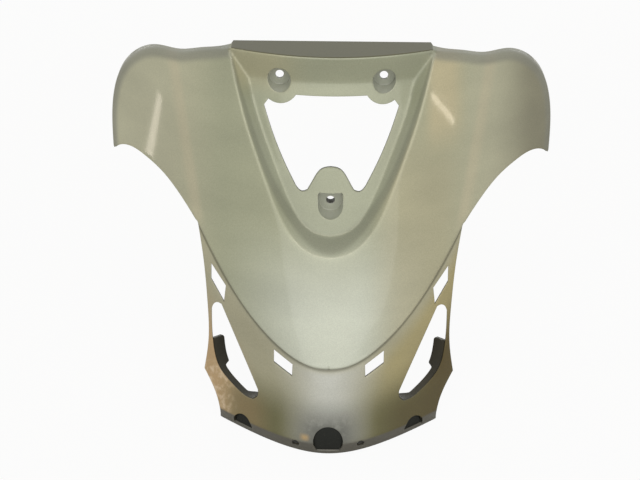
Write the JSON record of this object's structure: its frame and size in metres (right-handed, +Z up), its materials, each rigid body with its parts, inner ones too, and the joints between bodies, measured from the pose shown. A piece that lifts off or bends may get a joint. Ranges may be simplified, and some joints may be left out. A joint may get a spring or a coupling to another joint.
{
  "type": "front fairing panel",
  "caption": "Front fairing panel: a painted shield with swept-back wings, a V-shaped recess round a large opening, side windows, tab slots and a turned-under lower lip with rubber plugs.",
  "frame": {"origin": "midway between the two upper screw holes, on their front seats", "axes": "+X to the right seen from the front, the outside faces -Y, +Z up; the panel leans back as it rises, as when fitted"},
  "size_m": [0.4648, 0.2834, 0.349],
  "materials": {
    "painted_plastic": "champagne metallic paint under clear coat outside, bare moulded plastic inside",
    "black_rubber": "matt moulded rubber"
  },
  "bodies": {
    "root": {"front_panel": "painted_plastic", "centre_plug": "black_rubber", "left_plug": "black_rubber", "right_plug": "black_rubber"}
  },
  "joints": []
}
